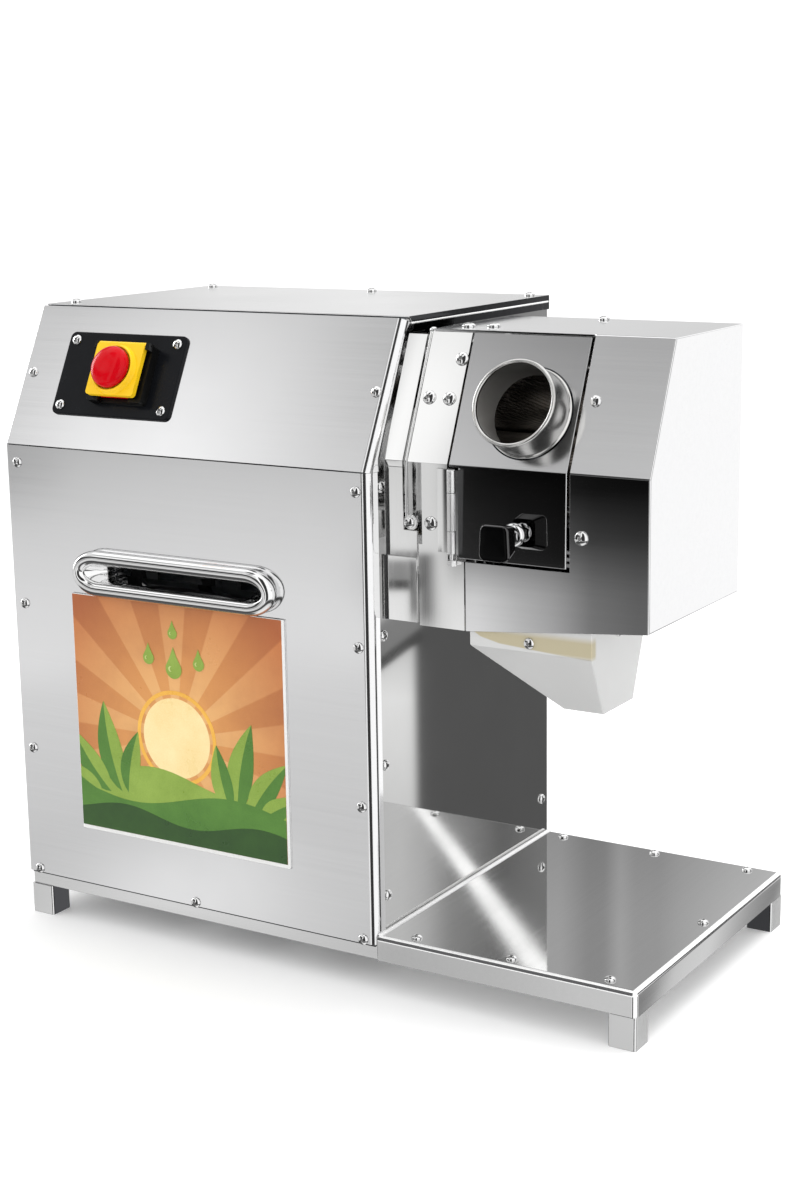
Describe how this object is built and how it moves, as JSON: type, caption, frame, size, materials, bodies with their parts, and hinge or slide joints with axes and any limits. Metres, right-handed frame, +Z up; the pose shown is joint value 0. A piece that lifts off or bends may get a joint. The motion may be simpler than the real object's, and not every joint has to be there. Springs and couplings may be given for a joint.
{
  "type": "sugarcane juicer",
  "caption": "Electric table-top sugarcane juicer: stainless drive body, hinged inlet door with feed pipe, geared crushing rollers, juice spout and a low deck for a jug.",
  "frame": {"origin": "middle of the bounding box, on the surface the machine stands on", "axes": "+X from the drive body to the crushing head, -Y to the operator, +Z up"},
  "size_m": [0.687, 0.3774, 0.6219],
  "materials": {
    "brushed_stainless": "brushed stainless sheet",
    "polished_stainless": "polished stainless",
    "steel_screws": "bright button heads",
    "printed_board": "printed sheet on a flat plate",
    "painted_steel": "grey paint",
    "black_plastic": "black, slightly worn",
    "switch_grey": "dark grey moulding",
    "switch_yellow": "yellow moulding",
    "switch_red": "red moulding",
    "switch_green": "green moulding",
    "machined_steel": "turned and ground",
    "plate_steel": "cut plate",
    "bronze": "cast bronze",
    "cast_iron": "sand cast",
    "motor_paint": "blue-grey enamel",
    "belt_rubber": "fabric-backed rubber"
  },
  "bodies": {
    "frame": {"bagasse_slide": "polished_stainless", "base_deck": "brushed_stainless", "base_frame": "brushed_stainless", "body_frame": "painted_steel", "cable_gland": "black_plastic", "control_panel": "brushed_stainless", "drive_belt": "belt_rubber", "drive_bolts": "machined_steel", "front_board": "printed_board", "front_panel": "brushed_stainless", "gearbox_housing": "cast_iron", "hand_hole_rim": "polished_stainless", "head_bolts": "steel_screws", "head_cover": "polished_stainless", "head_mount_plate": "plate_steel", "head_rear_cover": "polished_stainless", "hinge_fixed_leaf": "polished_stainless", "juice_chute": "polished_stainless", "juice_tray": "polished_stainless", "left_front_plate": "polished_stainless", "left_side_panel": "brushed_stainless", "leg_plugs": "black_plastic", "motor_bells": "motor_paint", "motor_stator": "motor_paint", "panel_screws": "steel_screws", "profile_strip": "polished_stainless", "rear_panel": "brushed_stainless", "right_side_panel": "brushed_stainless", "roller_bushes": "bronze", "roller_plate_left": "plate_steel", "roller_plate_right": "plate_steel", "scraper_blades": "polished_stainless", "switch_base": "switch_grey", "switch_plate": "black_plastic", "tie_bolts": "machined_steel", "tie_sleeves": "machined_steel", "top_cover": "brushed_stainless", "turner_plate": "polished_stainless", "wall_bracket": "polished_stainless"},
    "switch_flap": {"switch_flap": "switch_yellow"},
    "estop_button": {"estop_button": "switch_red"},
    "start_button": {"start_button": "switch_green"},
    "stop_button": {"stop_button": "switch_red"},
    "inlet_door": {"inlet_door": "polished_stainless", "inlet_pipe": "polished_stainless", "hinge_door_leaf": "polished_stainless", "latch_bezel": "polished_stainless"},
    "door_latch": {"latch_stem": "polished_stainless", "latch_grip": "black_plastic"},
    "motor_rotor": {"motor_rotor": "machined_steel", "motor_pulley": "cast_iron"},
    "gearbox_input": {"gearbox_input_shaft": "machined_steel", "gearbox_pulley": "cast_iron"},
    "top_roller": {"top_roller": "machined_steel", "top_pinion": "machined_steel", "gearbox_output_shaft": "machined_steel"},
    "front_roller": {"front_roller": "machined_steel", "front_pinion": "machined_steel"},
    "rear_roller": {"rear_roller": "machined_steel", "rear_pinion": "machined_steel"}
  },
  "joints": [
    {"name": "flap_hinge", "type": "hinge", "parent": "frame", "child": "switch_flap", "pos_m": [-0.21255, -0.13832, 0.58607], "axis": [-1, 0, 0], "range_deg": [0, 110]},
    {"name": "estop_press", "type": "slide", "parent": "switch_flap", "child": "estop_button", "axis": [0, 0.8931, -0.4499], "range_m": [0, 0.0032], "stiffness_N_per_m": 1200},
    {"name": "start_press", "type": "slide", "parent": "frame", "child": "start_button", "axis": [0, 0.8931, -0.4499], "range_m": [0, 0.003], "stiffness_N_per_m": 900},
    {"name": "stop_press", "type": "slide", "parent": "frame", "child": "stop_button", "axis": [0, 0.8931, -0.4499], "range_m": [0, 0.003], "stiffness_N_per_m": 900},
    {"name": "door_hinge", "type": "hinge", "parent": "frame", "child": "inlet_door", "pos_m": [0.15695, -0.15595, 0.457], "axis": [0, 0, -1], "range_deg": [0, 100]},
    {"name": "latch_turn", "type": "hinge", "parent": "inlet_door", "child": "door_latch", "pos_m": [0.21645, -0.15125, 0.4415], "axis": [0, -1, 0], "range_deg": [0, 90]},
    {"name": "motor_spin", "type": "hinge", "parent": "frame", "child": "motor_rotor", "pos_m": [-0.09055, 0.00575, 0.124], "axis": [1, 0, 0], "continuous": true},
    {"name": "gearbox_input_spin", "type": "hinge", "parent": "frame", "child": "gearbox_input", "pos_m": [-0.17055, -0.05925, 0.475], "axis": [1, 0, 0], "continuous": true},
    {"name": "top_roller_spin", "type": "hinge", "parent": "frame", "child": "top_roller", "pos_m": [0.20945, -0.05935, 0.5471], "axis": [1, 0, 0], "continuous": true},
    {"name": "front_roller_spin", "type": "hinge", "parent": "frame", "child": "front_roller", "pos_m": [0.20945, -0.08475, 0.48836], "axis": [1, 0, 0], "continuous": true},
    {"name": "rear_roller_spin", "type": "hinge", "parent": "frame", "child": "rear_roller", "pos_m": [0.20945, -0.00892, 0.5077], "axis": [1, 0, 0], "continuous": true}
  ],
  "couplings": [
    {"joint": "gearbox_input_spin", "follows": "motor_spin", "ratio": 0.54},
    {"joint": "top_roller_spin", "follows": "motor_spin", "ratio": 0.0135},
    {"joint": "front_roller_spin", "follows": "motor_spin", "ratio": -0.0135},
    {"joint": "rear_roller_spin", "follows": "motor_spin", "ratio": -0.0135}
  ]
}
